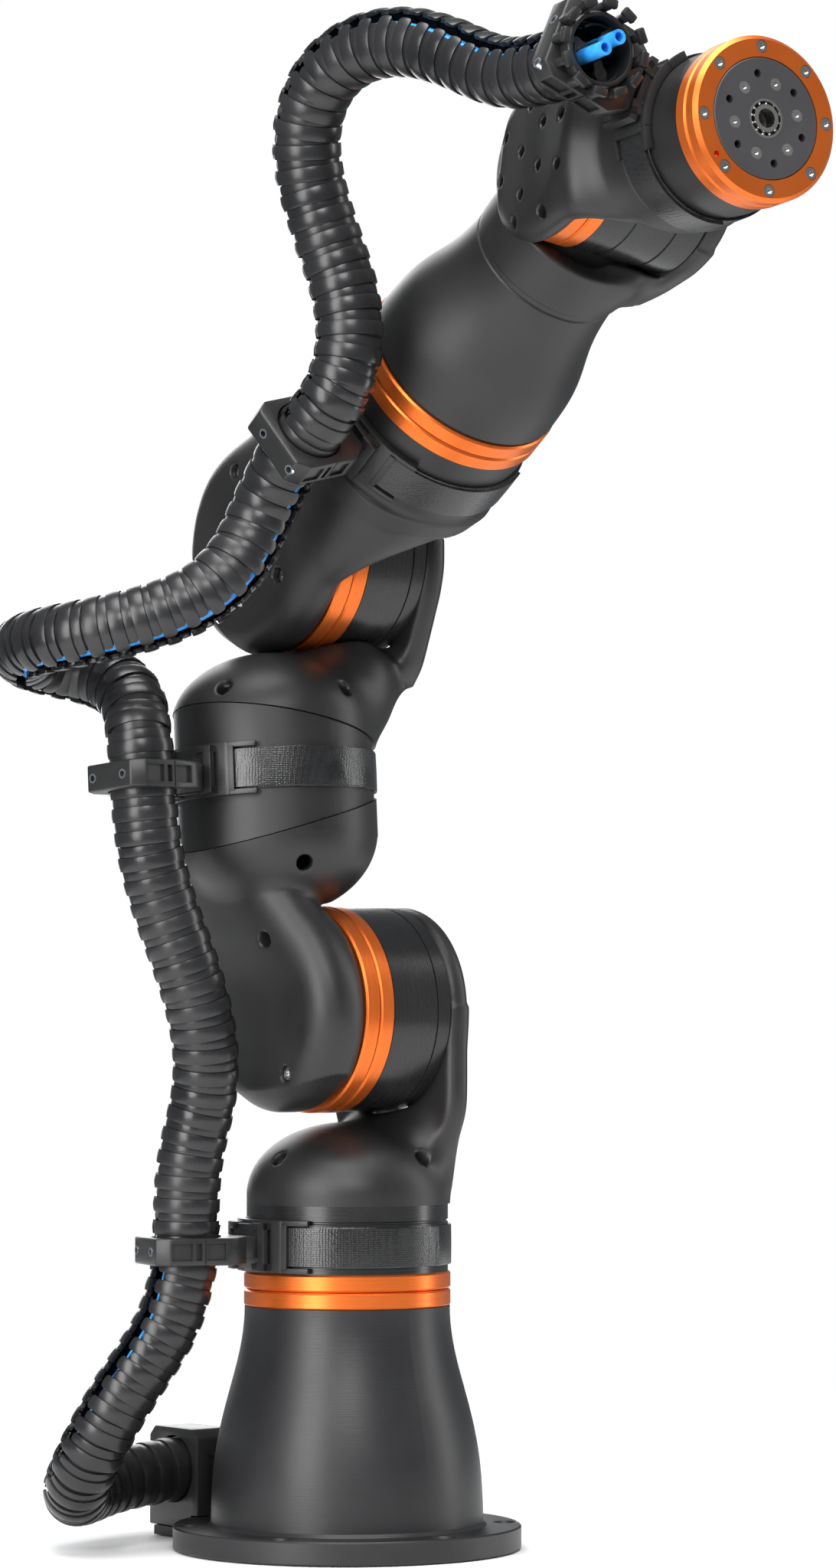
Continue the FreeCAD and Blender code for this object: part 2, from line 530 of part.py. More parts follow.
def clamp_mouth(index, side):
    """Where the chain ends inside a clamp, near its lower (-1) or upper (1) face."""
    return CLAMPS[index].multVec(V(0, 0, side * (CLAMP_DEPTH / 2 - 2)))


def energy_chain():
    def route(first, *points):
        return first + [V(*p) for p in points]

    spans = [
        route([], (-97, -42, 36), (-98, -66, 34), (-94, -90, 31), (-83, -111, 28), (-66, -127, 30),
              (-48, -134, 43), (-35, -132, 62), (-26, -123, 84), (-18, -111, 105), (-12, -100, 127)),
        route([clamp_mouth(0, 1)], (-9, -96, 190), (-6, -94, 212), (0, -91, 235), (5, -93, 258),
              (7, -99, 281), (6, -107, 304), (3, -116, 328), (2, -124, 351), (2.5, -129, 372)),
        route([clamp_mouth(1, 1)], (0, -132, 420), (-9, -128, 436), (-27, -126, 448), (-47, -131, 455),
              (-57, -148, 459), (-51, -169, 462), (-31, -182, 465), (-8, -183, 467), (13, -173, 470),
              (28, -158, 474), (43, -140, 481), (54, -126, 490), (60, -114, 503), (62, -104, 520),
              (66, -98, 538)),
        route([clamp_mouth(2, 1)], (110, -94, 578), (118, -89, 594), (121, -86, 615), (119, -89, 640),
              (114, -97, 666), (112, -106, 693), (116, -111, 718), (130, -111, 740), (152, -106, 752),
              (180, -99, 753), (208, -92, 744), (234, -87, 731), (259, -84, 725))]
    for clamp, span in enumerate(spans):
        span.append(clamp_mouth(clamp, -1))
    # Between the third and fourth clamps the chain passes joint 4, then joint 5.
    upper = spans.pop()
    split = (upper[5] + upper[6]) * 0.5
    spans += [upper[:6] + [split], [split] + upper[6:]]
    for number, points in enumerate(spans, 1):
        chain_span("energy_chain_%d" % number, points)


os.makedirs("parts", exist_ok=True)
base()
shoulder()
lower_arm()
elbow()
forearm()
wrist()
tool()
energy_chain()
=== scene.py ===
import math

import bmesh
import bpy
import numpy as np
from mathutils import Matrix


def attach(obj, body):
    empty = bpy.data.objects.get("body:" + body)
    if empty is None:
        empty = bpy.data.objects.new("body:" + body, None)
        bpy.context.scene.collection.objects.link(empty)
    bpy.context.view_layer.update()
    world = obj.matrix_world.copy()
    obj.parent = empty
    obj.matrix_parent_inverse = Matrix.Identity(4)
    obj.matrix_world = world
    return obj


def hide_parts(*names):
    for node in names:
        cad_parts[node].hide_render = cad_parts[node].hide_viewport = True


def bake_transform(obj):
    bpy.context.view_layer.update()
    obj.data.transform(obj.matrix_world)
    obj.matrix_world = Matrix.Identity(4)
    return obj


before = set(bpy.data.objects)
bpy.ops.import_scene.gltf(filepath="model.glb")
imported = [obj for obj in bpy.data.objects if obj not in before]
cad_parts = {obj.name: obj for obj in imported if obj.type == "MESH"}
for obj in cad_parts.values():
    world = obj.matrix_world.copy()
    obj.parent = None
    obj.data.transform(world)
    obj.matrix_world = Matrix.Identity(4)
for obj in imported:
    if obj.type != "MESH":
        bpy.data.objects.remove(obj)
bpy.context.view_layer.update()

import openvdb
from mathutils import Matrix, Vector

MM = 0.001


# ---------------------------------------------------------------- the links at rest, in millimetres
def shift(x, y, z):
    return Matrix.Translation((x, y, z))


def spin(axis, degrees):
    return Matrix.Rotation(math.radians(degrees), 4, axis)


BASE = Matrix.Identity(4)
J2_Z, ELBOW_Z, WRIST_Z = 280.4, 242, 297      # joints 2, 3 and 5, each from the one before
LOWER = shift(0, 0, J2_Z) @ spin("Y", -4)
ELBOW = LOWER @ shift(0, 0, ELBOW_Z) @ spin("Y", 4 + 90 - 34.2)
FOREARM_Y = -5.3                              # the forearm's axis beside the elbow's middle
FOREARM = ELBOW @ shift(0, FOREARM_Y, 0) @ spin("Z", -12.25)
WRIST = FOREARM @ shift(0, 0, WRIST_Z) @ spin("Y", 31.3)
TUBE_Y = -41.0                                # axis of the lower arm's tube
BIG_R, SMALL_R = 54.0, 40.0                   # joint units
TO_METRES = Matrix.Scale(MM, 4)


def clamp_frame(link, yc, z, angle, reach):
    """Frame at the chain's centre in a clamp: +Z along the chain, -Y away from the link."""
    return link @ shift(0, yc, z) @ spin("Z", angle) @ shift(0, -reach, 0)


REACH = (96.0, 90.0, 95.0, 78.0)
CLAMPS = (clamp_frame(BASE, 0, 158.2, -6, REACH[0]), clamp_frame(LOWER, TUBE_Y, 121.6, 6, REACH[1]),
          clamp_frame(ELBOW, FOREARM_Y, 110, 16, REACH[2]), clamp_frame(WRIST, 0, 80, -15, REACH[3]))


# ---------------------------------------------------------------- camera, studio and floor
def camera():
    """The photo's camera, as fitted."""
    data = bpy.data.cameras.new("camera")
    data.lens = 112.76
    data.sensor_width = 36
    data.clip_start, data.clip_end = 0.05, 50
    cam = bpy.data.objects.new("camera", data)
    cam.location = (2.0845, -1.5207, 0.27835)
    aim = Vector((0.02183, 0.02992, 0.39882))
    cam.rotation_euler = (aim - cam.location).to_track_quat("-Z", "Y").to_euler()
    bpy.context.scene.collection.objects.link(cam)
    bpy.context.scene.camera = cam


def softbox(name, place, aim, width, height, power):
    data = bpy.data.lights.new(name, "AREA")
    data.shape = "RECTANGLE"
    data.size, data.size_y = width, height
    data.energy = power
    lamp = bpy.data.objects.new(name, data)
    lamp.location = place
    lamp.rotation_euler = (Vector(aim) - Vector(place)).to_track_quat("-Z", "Y").to_euler()
    bpy.context.scene.collection.objects.link(lamp)


def studio():
    """White for the camera, a dim world for the light, five softboxes and the floor."""
    scene = bpy.context.scene
    scene.view_settings.view_transform = "Standard"
    world = bpy.data.worlds.new("studio")
    scene.world = world
    world.use_nodes = True
    nodes, links = world.node_tree.nodes, world.node_tree.links
    lit, seen = nodes["Background"], nodes.new("ShaderNodeBackground")
    lit.inputs["Color"].default_value = (0.9, 0.95, 1.0, 1)
    lit.inputs["Strength"].default_value = 0.2
    seen.inputs["Color"].default_value = (1, 1, 1, 1)
    seen.inputs["Strength"].default_value = 1.0
    path, mix = nodes.new("ShaderNodeLightPath"), nodes.new("ShaderNodeMixShader")
    links.new(path.outputs["Is Camera Ray"], mix.inputs[0])
    links.new(lit.outputs[0], mix.inputs[1])
    links.new(seen.outputs[0], mix.inputs[2])
    links.new(mix.outputs[0], nodes["World Output"].inputs["Surface"])

    middle = (0, 0, 0.42)
    softbox("key_left", (0.55, -1.75, 0.75), middle, 0.8, 1.6, 32)
    softbox("strip_right", (0.75, 1.35, 0.65), middle, 0.22, 1.7, 9)
    softbox("overhead", (0.5, -0.3, 2.0), middle, 1.5, 1.2, 42)
    softbox("rim_back", (-1.4, 0.6, 0.9), middle, 0.8, 1.5, 14)
    softbox("front_fill", (1.8, -1.2, 1.5), (0.3, 0, 0.6), 0.9, 0.7, 24)

    under_foot = (0, 0, -0.6 * MM)
    bpy.ops.mesh.primitive_circle_add(vertices=96, radius=1.1, fill_type="NGON", location=under_foot)
    floor = bpy.context.object
    floor.name = "floor"
    floor.data.materials.append(simple("floor_white", (0.93, 0.93, 0.93), 0.7))


# ---------------------------------------------------------------- materials
def new_material(name, colour, rough, metal=0.0):
    mat = bpy.data.materials.new(name)
    mat.use_nodes = True
    bsdf = mat.node_tree.nodes["Principled BSDF"]
    bsdf.inputs["Base Color"].default_value = (*colour, 1)
    bsdf.inputs["Roughness"].default_value = rough
    bsdf.inputs["Metallic"].default_value = metal
    return mat, mat.node_tree.nodes, mat.node_tree.links, bsdf


def simple(name, colour, rough, metal=0.0):
    return new_material(name, colour, rough, metal)[0]


def noise(nodes, links, source, scale, detail, dimensions="3D"):
    tex = nodes.new("ShaderNodeTexNoise")
    tex.noise_dimensions = dimensions
    tex.inputs["Scale"].default_value = scale
    tex.inputs["Detail"].default_value = detail
    links.new(source, tex.inputs["W" if dimensions == "1D" else "Vector"])
    return tex.outputs["Fac"]


def ranged(nodes, links, source, low, high):
    """Map a noise's usual spread to low..high."""
    remap = nodes.new("ShaderNodeMapRange")
    remap.inputs["From Min"].default_value, remap.inputs["From Max"].default_value = 0.3, 0.7
    remap.inputs["To Min"].default_value, remap.inputs["To Max"].default_value = low, high
    links.new(source, remap.inputs["Value"])
    return remap.outputs["Result"]


def tinted(nodes, links, source, dark, light):
    """A colour between dark and light."""
    mix = nodes.new("ShaderNodeMix")
    mix.data_type = "RGBA"
    mix.inputs["A"].default_value = (*dark, 1)
    mix.inputs["B"].default_value = (*light, 1)
    links.new(source, mix.inputs["Factor"])
    return mix.outputs["Result"]


def bumped(nodes, links, bsdf, source, height, strength=1.0):
    bump = nodes.new("ShaderNodeBump")
    bump.inputs["Distance"].default_value = height
    bump.inputs["Strength"].default_value = strength
    links.new(source, bump.inputs["Height"])
    links.new(bump.outputs["Normal"], bsdf.inputs["Normal"])


def moulded(name, dark, light, rough, spread, grain, grain_height):
    """Moulded plastic: a fine grain, and broad soft patches of handling in colour and gloss."""
    mat, nodes, links, bsdf = new_material(name, dark, rough)
    place = nodes.new("ShaderNodeTexCoord").outputs["Object"]
    broad = noise(nodes, links, place, 22, 3)
    fine = noise(nodes, links, place, grain, 2)
    colour = tinted(nodes, links, ranged(nodes, links, broad, 0, 1), dark, light)
    links.new(colour, bsdf.inputs["Base Color"])
    links.new(ranged(nodes, links, broad, rough - spread, rough + spread), bsdf.inputs["Roughness"])
    bumped(nodes, links, bsdf, fine, grain_height)
    return mat


def turned(name, axis, dark, light, rough, spread, metal, lines, line_height):
    """A lathe-turned surface: fine rings that depend only on the place along the axis."""
    mat, nodes, links, bsdf = new_material(name, dark, rough, metal)
    place = nodes.new("ShaderNodeTexCoord").outputs["Object"]
    along = nodes.new("ShaderNodeVectorMath")
    along.operation = "DOT_PRODUCT"
    along.inputs[1].default_value = axis
    links.new(place, along.inputs[0])
    rings = noise(nodes, links, along.outputs["Value"], lines, 3, "1D")
    broad = noise(nodes, links, place, 30, 2)
    colour = tinted(nodes, links, ranged(nodes, links, broad, 0, 1), dark, light)
    links.new(colour, bsdf.inputs["Base Color"])
    links.new(ranged(nodes, links, rings, rough - spread, rough + spread), bsdf.inputs["Roughness"])
    bumped(nodes, links, bsdf, rings, line_height)
    return mat


def woven(name):
    """Hook and loop band: rows of small loops, glossy where they are pressed flat."""
    mat, nodes, links, bsdf = new_material(name, (0.012, 0.012, 0.013), 0.35)
    place = nodes.new("ShaderNodeTexCoord").outputs["Object"]
    loops = nodes.new("ShaderNodeTexVoronoi")
    loops.inputs["Scale"].default_value = 900
    loops.inputs["Randomness"].default_value = 0.35
    links.new(place, loops.inputs["Vector"])
    worn = ranged(nodes, links, noise(nodes, links, place, 45, 3), 0.12, 0.42)
    links.new(worn, bsdf.inputs["Roughness"])
    links.new(tinted(nodes, links, loops.outputs["Distance"], (0.02, 0.02, 0.021), (0.003, 0.003, 0.003)),
              bsdf.inputs["Base Color"])
    bumped(nodes, links, bsdf, loops.outputs["Distance"], 0.0003, 0.5)
    bsdf.inputs["Coat Weight"].default_value = 0.25
    bsdf.inputs["Coat Roughness"].default_value = 0.3
    return mat


def tubing(name):
    """Polyurethane air hose: clear blue, slightly cloudy, smooth."""
    mat, nodes, links, bsdf = new_material(name, (0.03, 0.3, 0.78), 0.22)
    place = nodes.new("ShaderNodeTexCoord").outputs["Object"]
    cloud = ranged(nodes, links, noise(nodes, links, place, 160, 2), 0, 1)
    links.new(tinted(nodes, links, cloud, (0.02, 0.24, 0.72), (0.06, 0.42, 0.9)), bsdf.inputs["Base Color"])
    bsdf.inputs["Subsurface Weight"].default_value = 0.35
    bsdf.inputs["Subsurface Radius"].default_value = (0.001, 0.002, 0.004)
    bsdf.inputs["Subsurface Scale"].default_value = 0.6
    return mat


# Each joint's axis at rest, and the materials.
AXES = {1: (0, 0, 1), 2: (0, 1, 0), 3: (0, 1, 0), 4: ELBOW.col[2][:3], 5: FOREARM.col[1][:3],
        6: WRIST.col[2][:3]}
MATTE = moulded("matte_black", (0.0095, 0.0092, 0.0095), (0.016, 0.0152, 0.015), 0.43, 0.05, 2600, 0.00006)
BELL = turned("bell_black", AXES[1], (0.010, 0.010, 0.011), (0.015, 0.015, 0.016), 0.40, 0.05, 0.0, 2200,
              0.00004)
NYLON = moulded("clamp_black", (0.012, 0.012, 0.012), (0.019, 0.019, 0.019), 0.36, 0.06, 1800, 0.00005)
CHAIN = moulded("chain_black", (0.011, 0.011, 0.012), (0.018, 0.018, 0.019), 0.3, 0.07, 900, 0.00004)
STRAP = woven("strap_black")
HOSE = tubing("hose_light_blue")
ORANGE = {n: turned("orange_ring_%d" % n, axis, (0.76, 0.15, 0.022), (0.84, 0.185, 0.03), 0.33, 0.06, 0.75,
                    2600, 0.00003) for n, axis in AXES.items()}
GLOSS = {n: turned("turned_black_%d" % n, axis, (0.010, 0.010, 0.0105), (0.016, 0.016, 0.0165), 0.27, 0.05,
                   0.0, 1900, 0.00003) for n, axis in AXES.items()}
STEEL = turned("screw_steel", AXES[6], (0.62, 0.6, 0.57), (0.75, 0.73, 0.7), 0.24, 0.05, 1.0, 3000, 0.00002)
ZINC = moulded("bushing_zinc", (0.55, 0.6, 0.65), (0.7, 0.74, 0.78), 0.25, 0.06, 1500, 0.00003)
ZINC.node_tree.nodes["Principled BSDF"].inputs["Metallic"].default_value = 1.0
DISC = turned("disc_black", AXES[6], (0.035, 0.034, 0.036), (0.045, 0.043, 0.046), 0.5, 0.04, 0.0, 2500,
              0.00002)
WINDING = moulded("motor_steel", (0.2, 0.19, 0.18), (0.3, 0.28, 0.26), 0.4, 0.05, 1200, 0.00005)


def paint(name, mat):
    """Material and slot of one CAD node."""
    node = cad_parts[name]
    if not node.material_slots:
        node.data.materials.append(mat)
    for place in node.material_slots:
        place.material = mat


def paint_cad():
    """Looks of the CAD nodes that stay as they are."""
    paint("base_housing", BELL)
    paint("chain_foot", MATTE)
    paint("shoulder_collar", GLOSS[1])
    paint("lower_arm_tube", MATTE)
    paint("forearm_shell", MATTE)
    paint("j6_housing", MATTE)
    for n in AXES:
        paint("j%d_ring_fixed" % n, ORANGE[n])
        if n != 6:
            paint("j%d_ring_output" % n, ORANGE[n])
        paint("j%d_motor_stator" % n, WINDING)
        paint("j%d_motor_rotor" % n, WINDING)
    paint("j6_ring_output", ORANGE[6])
    for n in (2, 3, 5):
        paint("j%d_housing" % n, GLOSS[n])
    paint("tool_flange", DISC)
    for name in ("flange_screws", "flange_bearing", "shoulder_screws", "lower_arm_screws", "elbow_screws"):
        paint(name, STEEL)
    paint("air_hoses", HOSE)


# ---------------------------------------------------------------- mesh helpers
def add_mesh(name, points, faces, mat):
    """A new smooth object from points in millimetres."""
    mesh = bpy.data.meshes.new(name)
    mesh.from_pydata([tuple(p) for p in points], [], [tuple(f) for f in faces])
    mesh.transform(TO_METRES)
    mesh.materials.append(mat)
    mesh.shade_smooth()
    piece = bpy.data.objects.new(name, mesh)
    bpy.context.scene.collection.objects.link(piece)
    return piece


def baked(piece):
    """Turn a piece's modifiers into its mesh."""
    graph = bpy.context.evaluated_depsgraph_get()
    mesh = bpy.data.meshes.new_from_object(piece.evaluated_get(graph))
    piece.modifiers.clear()
    piece.data = mesh
    return piece


def box_mesh(bm, centre, size):
    """A box in a bmesh; returns its vertices."""
    made = bmesh.ops.create_cube(bm, size=1.0)["verts"]
    bmesh.ops.scale(bm, vec=size, verts=made)
    bmesh.ops.translate(bm, vec=centre, verts=made)
    return made


def lathe(bm, profile, steps=96, start=0.0, end=360.0, centre=(0, 0, 0)):
    """Sweep a closed (radius, height) outline round Z, whole or between two angles."""
    whole = end - start >= 360
    angles = [math.radians(start + (end - start) * i / steps) for i in range(steps + (0 if whole else 1))]
    rows = [[bm.verts.new((centre[0] + r * math.cos(a), centre[1] + r * math.sin(a), centre[2] + z))
             for r, z in profile] for a in angles]
    count, around = len(profile), len(rows)
    for i in range(around if whole else around - 1):
        a, b = rows[i], rows[(i + 1) % around]
        for k in range(count):
            bm.faces.new((a[k], b[k], b[(k + 1) % count], a[(k + 1) % count]))
    if not whole:
        bm.faces.new(rows[0])
        bm.faces.new(rows[-1][::-1])


def from_bmesh(name, bm, mat, placing, bevel=0.0):
    """An object from a bmesh in a link's frame, with bevelled edges."""
    bmesh.ops.recalc_face_normals(bm, faces=bm.faces)
    mesh = bpy.data.meshes.new(name)
    bm.to_mesh(mesh)
    bm.free()
    mesh.materials.append(mat)
    piece = bpy.data.objects.new(name, mesh)
    bpy.context.scene.collection.objects.link(piece)
    if bevel:
        rounding = piece.modifiers.new("edges", "BEVEL")
        rounding.width = bevel
        rounding.segments = 2
        rounding.limit_method = "ANGLE"
        rounding.angle_limit = math.radians(35)
        baked(piece)
    piece.data.transform(TO_METRES @ placing)
    piece.data.shade_smooth()
    piece.data.set_sharp_from_angle(angle=math.radians(40))
    return piece


def carve(piece, cutters):
    """Boolean cut, with the cutters in the same frame as the piece."""
    for cutter in cutters:
        cut = piece.modifiers.new("cut", "BOOLEAN")
        cut.operation = "DIFFERENCE"
        cut.solver = "EXACT"
        cut.object = cutter
    bpy.context.view_layer.update()
    baked(piece)
    for cutter in cutters:
        bpy.data.objects.remove(cutter)
    piece.data.shade_smooth()
    piece.data.set_sharp_from_angle(angle=math.radians(40))
    return piece


def finish_piece(piece, body, node=None):
    """Replaced CAD node and body of one piece."""
    if node:
        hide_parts(node)
    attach(piece, body)


# ---------------------------------------------------------------- energy chain and hoses
PITCH = 11.3                                  # from link to link
LIP_R, NECK_R = 17.2, 16.2                    # outside of a link's wide and narrow band
HOSE_D = 6.0
HOSE_OFFSETS = ((9.4, 1.5), (-4.5, -6.5))     # towards the slot, and sideways


def clamp_mouth(index, side):
    """Where the chain enters or leaves a clamp."""
    return CLAMPS[index] @ Vector((0, 0, side * 5.0))


def routes():
    """Control points of the five spans, in metres."""
    spans = {1: [(-97, -42, 36), (-98, -66, 34), (-94, -90, 31), (-83, -111, 28), (-66, -127, 30),
                 (-48, -134, 43), (-35, -132, 62), (-26, -123, 84), (-18, -111, 105), (-12, -100, 127),
                 clamp_mouth(0, -1)],
             2: [clamp_mouth(0, 1), (-9, -96, 190), (-6, -94, 212), (0, -91, 235), (5, -93, 258),
                 (7, -99, 281), (6, -107, 304), (3, -116, 328), (2, -124, 351), (2.5, -129, 372),
                 clamp_mouth(1, -1)],
             3: [clamp_mouth(1, 1), (0, -132, 420), (-9, -128, 436), (-27, -126, 448), (-47, -131, 455),
                 (-57, -148, 459), (-51, -169, 462), (-31, -182, 465), (-8, -183, 467), (13, -173, 470),
                 (28, -158, 474), (43, -140, 481), (54, -126, 490), (60, -114, 503), (62, -104, 520),
                 (66, -98, 538), clamp_mouth(2, -1)]}
    upper = [clamp_mouth(2, 1), (110, -94, 578), (118, -89, 594), (121, -86, 615), (119, -89, 640),
             (114, -97, 666), (112, -106, 693), (116, -111, 718), (130, -111, 740), (152, -106, 752),
             (180, -99, 753), (208, -92, 744), (234, -87, 731), (259, -84, 725), clamp_mouth(3, -1)]
    split = (Vector(upper[5]) + Vector(upper[6])) / 2
    spans[4] = upper[:6] + [split]
    spans[5] = [split] + upper[6:]
    return {n: [Vector(p) * MM for p in points] for n, points in spans.items()}


ROUTES = routes()
# Which way the slot faces along each span: (share of the length, direction).
SLOTS = {1: ((0, (-1, 0, 0)), (0.5, (-0.55, -0.83, 0)), (0.75, (0.0, -1, 0)), (1, (0.0, -1, 0))),
         2: ((0, (-0.38, -0.92, 0)), (0.3, (-0.85, -0.5, 0)), (1, (-0.8, -0.6, 0))),
         3: ((0, (-0.7, -0.7, 0)), (0.5, (0.3, -0.2, -0.93)), (1, (0.9, 0.3, -0.3))),
         4: ((0, (-0.62, -0.78, 0)), (1, (-0.58, -0.8, 0.1))),
         5: ((0, (-0.58, -0.8, 0.1)), (0.25, (0.2, -0.7, 0.65)), (0.5, (0.62, -0.47, 0.62)),
             (1, (0.72, -0.54, 0.45)))}
SPAN_BODIES = {1: ("base", "shoulder"), 2: ("shoulder", "lower_arm"), 3: ("lower_arm", "elbow"),
               4: ("elbow", "forearm"), 5: ("forearm", "wrist")}


def smooth_line(points):
    """Points along the route's own NURBS spline."""
    curve = bpy.data.curves.new("route", "CURVE")
    curve.dimensions = "3D"
    spline = curve.splines.new("NURBS")
    spline.points.add(len(points) - 1)
    for place, p in zip(spline.points, points):
        place.co = (*p, 1)
    spline.order_u = 3
    spline.use_endpoint_u = True
    spline.resolution_u = 16
    holder = bpy.data.objects.new("route", curve)
    mesh = bpy.data.meshes.new_from_object(holder)
    line = np.array([v.co for v in mesh.vertices], float)
    bpy.data.objects.remove(holder)
    bpy.data.meshes.remove(mesh)
    return line


class Route:
    """A span's centreline with a side direction carried along it."""

    def __init__(self, number):
        self.line = smooth_line(ROUTES[number])
        steps = np.linalg.norm(np.diff(self.line, axis=0), axis=1)
        self.at = np.concatenate([[0], np.cumsum(steps)])
        self.length = float(self.at[-1])
        tangents = np.gradient(self.line, self.at, axis=0)
        self.tangent = tangents / np.linalg.norm(tangents, axis=1)[:, None]
        side = np.cross(self.tangent[0], (0.3, 0.5, 0.8))
        sides = []
        for t in self.tangent:
            side = side - t * (side @ t)
            side = side / np.linalg.norm(side)
            sides.append(side)
        self.side = np.array(sides)
        shares, turns, last = [], [], 0.0
        for share, way in SLOTS[number]:
            place, t, s, b = self.frame(share * self.length)
            turn = math.atan2(np.dot(way, b), np.dot(way, s))
            turn += 2 * math.pi * round((last - turn) / (2 * math.pi))
            shares.append(share)
            turns.append(turn)
            last = turn
        self.turn = lambda share: float(np.interp(share, shares, turns))

    def frame(self, distance):
        """Place, tangent and two sides; beyond the ends the line runs on straight."""
        inside = min(max(distance, 0.0), self.length)
        place, t, s = (np.array([np.interp(inside, self.at, a[:, k]) for k in range(3)])
                       for a in (self.line, self.tangent, self.side))
        t = t / np.linalg.norm(t)
        s = s - t * (s @ t)
        s = s / np.linalg.norm(s)
        return place + t * (distance - inside), t, s, np.cross(t, s)

    def slotted(self, distance):
        """Place, tangent, direction of the slot and the direction beside it."""
        place, t, s, b = self.frame(distance)
        turn = self.turn(distance / self.length)
        facing = s * math.cos(turn) + b * math.sin(turn)
        return place, t, facing, np.cross(t, facing)


def band(z0, z1, outer, inner, gap_deg, tongue, crown, around):
    """One C-shaped band of a link: points (radius, angle, z) on a grid, rounded at its two ends."""
    rows = []
    half = math.radians(gap_deg)
    middle, reach = (z0 + z1) / 2, (z1 - z0) / 2
    for i in range(around + 1):
        share = i / around
        eased = share - math.sin(2 * math.pi * share) / (2 * math.pi) * 0.55
        angle = half + (2 * math.pi - 2 * half) * eased
        from_end = outer * min(angle - half, 2 * math.pi - half - angle)
        narrow = reach if from_end >= tongue else \
            reach - tongue + math.sqrt(max(tongue ** 2 - (tongue - from_end) ** 2, 0.0))
        narrow = max(narrow, 0.7 * reach)
        edge = 0.45
        shoulder, corner = outer + crown * 0.8, outer - edge * 0.3
        profile = [(corner, -narrow), (outer, -narrow + edge), (shoulder, -narrow * 0.4),
                   (outer + crown, 0), (shoulder, narrow * 0.4), (outer, narrow - edge), (corner, narrow),
                   (inner, narrow), (inner, -narrow)]
        rows.append([(r, angle, middle + z) for r, z in profile])
    return rows


def link_parts():
    """The grids of one link: its lip, neck, sleeve and mould line."""
    lip = band(-3.7, 3.4, LIP_R - 0.25, 15.4, 8.5, 1.5, 0.25, 44)
    neck = band(2.6, 8.6, NECK_R - 0.3, 13.8, 19, 1.0, 0.2, 40)
    sleeve = band(8.2, 13.8, 14.6, 13.4, 22, 1.0, 0.0, 40)
    spar = []                                  # the mould line opposite the slot
    for angle in (-1.2, 1.2):
        a = math.radians(180 + angle)
        foot, top = LIP_R - 1.0, LIP_R + 0.1
        spar.append([(foot, a, -3.3), (top, a, -3.2), (top, a, 3.0), (foot, a, 3.1)])
    return lip, neck, sleeve, spar


def chain_links(number, route):
    """All the links of one span in one mesh."""
    points, faces = [], []
    count = round(route.length / MM / PITCH)
    pitch = route.length / count
    bands = link_parts()
    for n in range(-1, count + 1):
        place, t, facing, beside = route.slotted((n + 0.5) * pitch)
        for rows in bands:
            first, across = len(points), len(rows[0])
            for row in rows:
                for r, angle, z in row:
                    way = facing * math.cos(angle) + beside * math.sin(angle)
                    points.append(place / MM + way * r + t * z)
            for i in range(len(rows) - 1):
                for k in range(across):
                    a, b = first + i * across + k, first + i * across + (k + 1) % across
                    faces.append((a, b, b + across, a + across))
            faces.append(tuple(range(first + across - 1, first - 1, -1)))
            last = first + (len(rows) - 1) * across
            faces.append(tuple(range(last, last + across)))
    piece = add_mesh("chain_links_%d" % number, points, faces, CHAIN)
    piece.data.set_sharp_from_angle(angle=math.radians(50))
    return piece


def hose(number, index, route):
    """One air hose of a span: a mesh tube beside the centreline."""
    towards, beside_by = HOSE_OFFSETS[index]
    centre, points, faces = [], [], []
    around, step = 12, 2.0 * MM
    count = max(8, round(route.length / step))
    for i in range(count + 1):
        place, t, facing, beside = route.slotted(route.length * i / count)
        middle = place + (facing * towards + beside * beside_by) * MM
        centre.append(middle)
        for k in range(around):
            a = 2 * math.pi * k / around
            points.append((middle + (facing * math.cos(a) + beside * math.sin(a)) * HOSE_D / 2 * MM) / MM)
    for i in range(count):
        for k in range(around):
            a, b = i * around + k, i * around + (k + 1) % around
            faces.append((a, b, b + around, a + around))
    faces.append(tuple(range(around - 1, -1, -1)))
    faces.append(tuple(range(count * around, (count + 1) * around)))
    piece = add_mesh("air_hose_%d_%d" % (number, index + 1), points, faces, HOSE)
    length = float(np.linalg.norm(np.diff(np.array(centre), axis=0), axis=1).sum())
    return piece, centre, length


def energy_chain():
    """Five spans of links, each with its two hoses."""
    for number, bodies in SPAN_BODIES.items():
        route = Route(number)
        links = chain_links(number, route)
        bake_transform(links)
        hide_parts("energy_chain_%d" % number)
        for index in range(2):
            piece, centre, length = hose(number, index, route)
            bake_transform(piece)


# ---------------------------------------------------------------- straps and chain holders
def strap(number, link, yc, z, radius, facing):
    """Hook and loop band with its overlapped end, a little uneven along both edges."""
    bm = bmesh.new()
    half, steps = 10.4, 180
    rng = np.random.default_rng(number)
    rows = []
    for i in range(steps):
        a = 2 * math.pi * i / steps
        fray = rng.uniform(-0.12, 0.12, 4)
        wave = 0.12 * math.sin(5 * a + number) + 0.08 * math.sin(11 * a)
        out = radius + 1.75 + wave * 0.3
        profile = [(radius + 0.25, -half + 0.2), (out - 0.3, -half + fray[0]), (out, -half + 0.7 + fray[1]),
                   (out + 0.1, 0), (out, half - 0.7 + fray[2]), (out - 0.3, half + fray[3]),
                   (radius + 0.25, half - 0.2)]
        rows.append([bm.verts.new((r * math.cos(a), r * math.sin(a), h + wave)) for r, h in profile])
    for i in range(steps):
        a, b = rows[i], rows[(i + 1) % steps]
        for k in range(7):
            bm.faces.new((a[k], b[k], b[(k + 1) % 7], a[(k + 1) % 7]))
    lathe(bm, [(radius + 1.7, -half + 0.5), (radius + 3.2, -half + 0.6), (radius + 3.35, 0),
               (radius + 3.2, half - 0.6), (radius + 1.7, half - 0.5)], 40, facing + 24, facing + 118)
    return from_bmesh("strap_band_%d" % number, bm, STRAP, link @ shift(0, yc, z))


